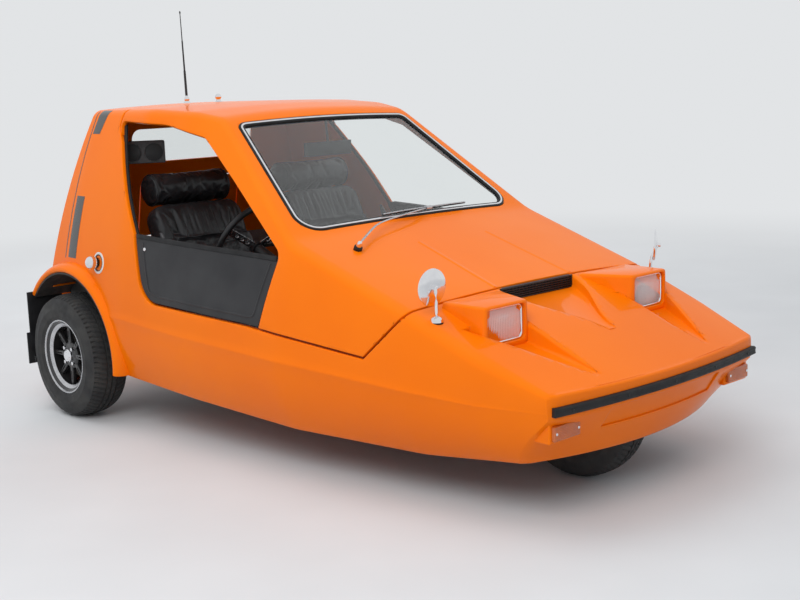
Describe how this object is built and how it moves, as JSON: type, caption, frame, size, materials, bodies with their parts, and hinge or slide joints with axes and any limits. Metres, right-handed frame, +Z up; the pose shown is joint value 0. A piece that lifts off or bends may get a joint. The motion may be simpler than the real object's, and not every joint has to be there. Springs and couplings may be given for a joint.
{
  "type": "three wheeled car",
  "caption": "Wedge-shaped two-seat three wheeler with a lift-up canopy, soft lower side screens, a single steered front wheel and a flat cut-off tail.",
  "frame": {"origin": "on the ground under the middle of the car's length and width", "axes": "+X to the nose, +Y to the car's left, +Z up"},
  "size_m": [2.794, 1.472, 1.5558],
  "materials": {
    "orange_body": "gloss",
    "black_rubber": "matte",
    "tyre": "matte",
    "black_plastic": "satin",
    "chrome": "polished",
    "window_glass": "clear",
    "lamp_glass": "ribbed",
    "amber": "gloss",
    "red": "gloss",
    "black_wheel": "satin",
    "chassis_black": "satin",
    "engine_alloy": "cast",
    "steel": "dull",
    "iron": "rough",
    "black_vinyl": "grained",
    "black_carpet": "matte"
  },
  "bodies": {
    "car_body": {"tub": "orange_body", "nose_panel": "orange_body", "rear_body": "orange_body", "wing_mirror_right": "chrome", "wing_mirror_left": "chrome", "headlamp_right": "lamp_glass", "headlamp_left": "lamp_glass", "bumper_strip": "black_rubber", "front_indicators": "amber", "grille": "black_plastic", "roof_knob": "chrome", "aerial": "black_plastic", "fuel_filler": "chrome", "rear_window": "window_glass", "tail_lamps": "red", "rear_bumper": "black_rubber", "rear_arch_right": "orange_body", "rear_arch_left": "orange_body", "wheel_well_right": "black_plastic", "wheel_well_left": "black_plastic", "mudflaps": "black_rubber", "engine_cover": "black_carpet", "engine_block": "engine_alloy", "rear_deck": "black_carpet", "seat_back_right": "black_vinyl", "seat_base_right": "black_vinyl", "seat_back_left": "black_vinyl", "seat_base_left": "black_vinyl", "dash": "black_plastic", "steering_column": "chassis_black", "speaker_box": "black_plastic", "chassis_frame": "chassis_black", "rear_axle": "iron", "propshaft": "steel", "rear_springs": "chassis_black", "trailing_arms": "chassis_black", "exhaust": "steel", "front_arm": "chassis_black", "front_spring": "chassis_black"},
    "canopy": {"canopy_shell": "orange_body", "windscreen_glass": "window_glass", "windscreen_seal": "black_rubber", "side_screen_right": "black_vinyl", "side_screen_left": "black_vinyl", "canopy_hinge": "chassis_black", "wiper": "black_plastic", "interior_mirror": "black_plastic"},
    "boot_lid": {"boot_lid": "orange_body"},
    "front_steer": {"front_knuckle": "iron"},
    "front_wheel": {"front_rim": "black_wheel", "front_tyre": "tyre"},
    "rear_wheel_right": {"rear_rim_right": "black_wheel", "rear_tyre_right": "tyre"},
    "rear_wheel_left": {"rear_rim_left": "black_wheel", "rear_tyre_left": "tyre"},
    "steering_wheel": {"steering_wheel": "black_plastic"}
  },
  "joints": [
    {"name": "canopy_lift", "type": "hinge", "parent": "car_body", "child": "canopy", "pos_m": [0.92, 0, 0.568], "axis": [0, 1, 0], "range_deg": [0, 50]},
    {"name": "boot_lid_lift", "type": "hinge", "parent": "car_body", "child": "boot_lid", "pos_m": [-1.05536, 0, 0.883], "axis": [0, 1, 0], "range_deg": [0, 75]},
    {"name": "front_steering", "type": "hinge", "parent": "car_body", "child": "front_steer", "pos_m": [1.036, 0.03, 0.238], "axis": [0, 0, 1], "range_deg": [-30, 30]},
    {"name": "front_wheel_spin", "type": "hinge", "parent": "front_steer", "child": "front_wheel", "pos_m": [1.036, 0, 0.238], "axis": [0, 1, 0], "continuous": true},
    {"name": "rear_wheel_right_spin", "type": "hinge", "parent": "car_body", "child": "rear_wheel_right", "pos_m": [-0.92, -0.6505, 0.24], "axis": [0, 1, 0], "continuous": true},
    {"name": "rear_wheel_left_spin", "type": "hinge", "parent": "car_body", "child": "rear_wheel_left", "pos_m": [-0.92, 0.6505, 0.24], "axis": [0, 1, 0], "continuous": true},
    {"name": "steering_wheel_turn", "type": "hinge", "parent": "car_body", "child": "steering_wheel", "pos_m": [-0.205, -0.305, 0.672], "axis": [-0.9135, 0, 0.4067], "range_deg": [-300, 300]}
  ],
  "couplings": [
    {"joint": "steering_wheel_turn", "follows": "front_steering", "ratio": 10}
  ]
}
